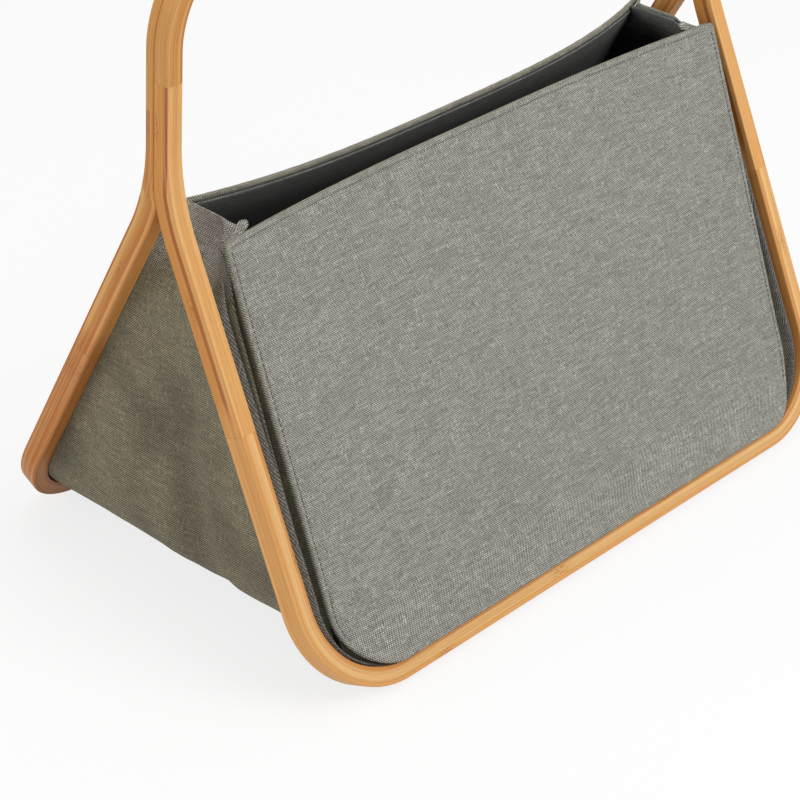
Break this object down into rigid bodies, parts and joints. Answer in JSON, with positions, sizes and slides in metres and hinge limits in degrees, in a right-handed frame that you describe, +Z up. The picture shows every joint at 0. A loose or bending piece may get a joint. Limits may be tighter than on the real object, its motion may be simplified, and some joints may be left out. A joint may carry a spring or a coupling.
{
  "type": "fabric storage basket",
  "caption": "Open carrying basket: two bent bamboo hoops splay out from a shared handle and hold a stiff-sided, lined cloth bag with a slot-like mouth.",
  "frame": {"origin": "on the floor under the middle of the basket", "axes": "+X along the basket's length, to the right seen from the front; +Y to the back hoop; +Z up"},
  "size_m": [0.45, 0.269, 0.4],
  "materials": {
    "bamboo": "laminated bamboo, clear satin lacquer",
    "dowel_wood": "plain turned beech",
    "grey_cloth": "linen-look twill with slubs, matte",
    "charcoal_lining": "fine charcoal twill, matte",
    "stiffener_board": "plain grey board"
  },
  "bodies": {
    "root": {"front_lower_bow": "bamboo", "back_lower_bow": "bamboo", "front_left_upright": "bamboo", "front_right_upright": "bamboo", "back_left_upright": "bamboo", "back_right_upright": "bamboo", "front_handle_bow": "bamboo", "back_handle_bow": "bamboo", "front_left_dowel": "dowel_wood", "front_right_dowel": "dowel_wood", "back_left_dowel": "dowel_wood", "back_right_dowel": "dowel_wood", "front_panel_cover": "grey_cloth", "back_panel_cover": "grey_cloth", "base_cover": "grey_cloth", "left_gusset": "grey_cloth", "right_gusset": "grey_cloth", "lining": "charcoal_lining", "front_panel_board": "stiffener_board", "back_panel_board": "stiffener_board", "base_board": "stiffener_board"}
  },
  "joints": []
}
